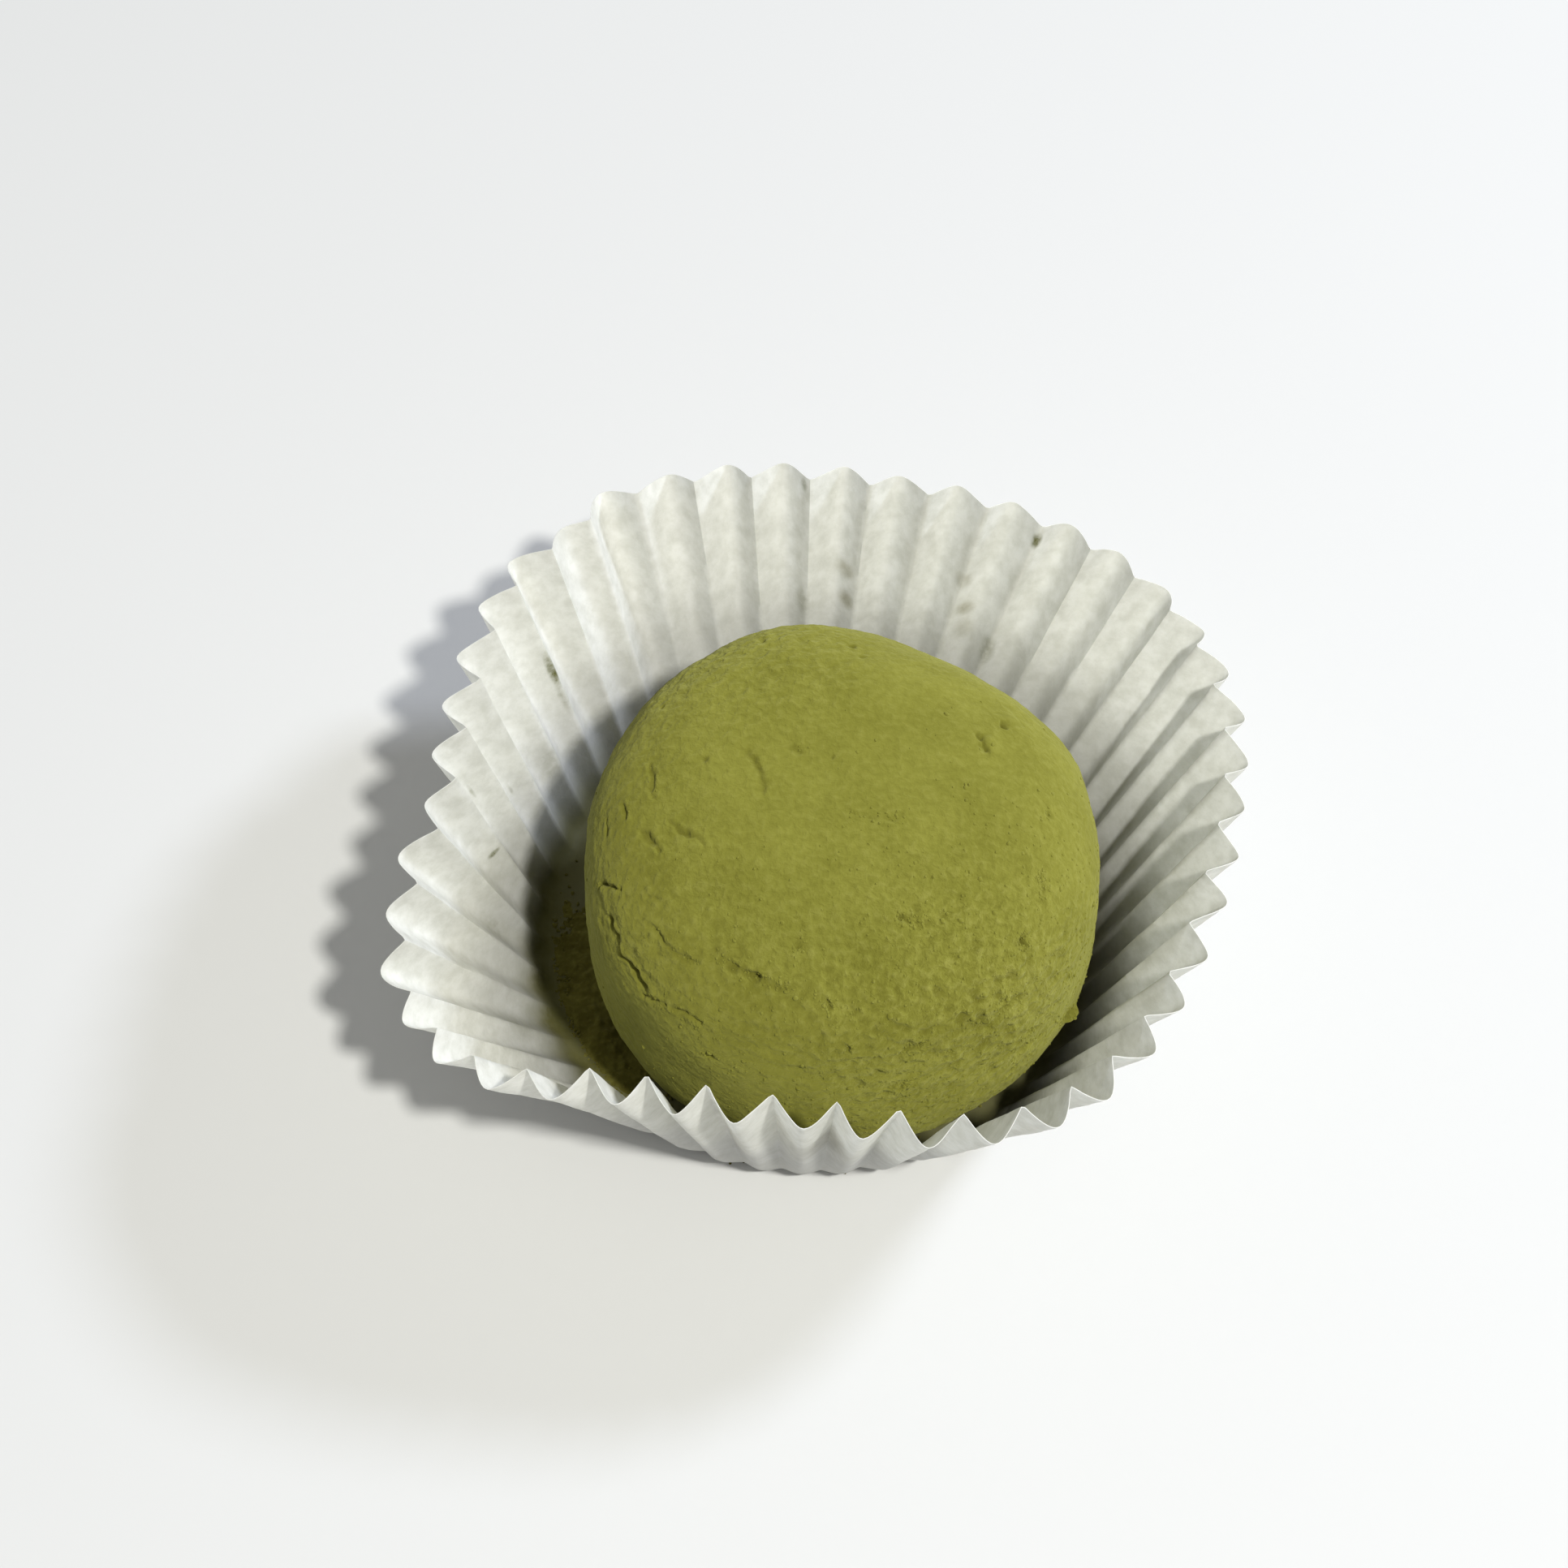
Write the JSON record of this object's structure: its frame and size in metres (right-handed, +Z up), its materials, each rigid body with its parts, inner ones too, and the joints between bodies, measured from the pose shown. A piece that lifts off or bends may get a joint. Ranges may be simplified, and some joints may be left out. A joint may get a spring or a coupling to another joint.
{
  "type": "chewy cookie in a paper case",
  "caption": "Soft ball-shaped chewy cookie dusted with green tea powder, resting off centre in a white fluted paper case with a squared rim.",
  "frame": {"origin": "middle of the paper case's flat bottom, on the surface that it stands on", "axes": "+Z up; the side of the cookie that faces the viewer is towards -Y, +X to its right"},
  "size_m": [0.0766, 0.0715, 0.0346],
  "materials": {
    "dusted_dough": "dry matt powder",
    "paper": "thin satin paper"
  },
  "bodies": {
    "root": {"cookie": "dusted_dough", "paper_case": "paper"}
  },
  "joints": []
}
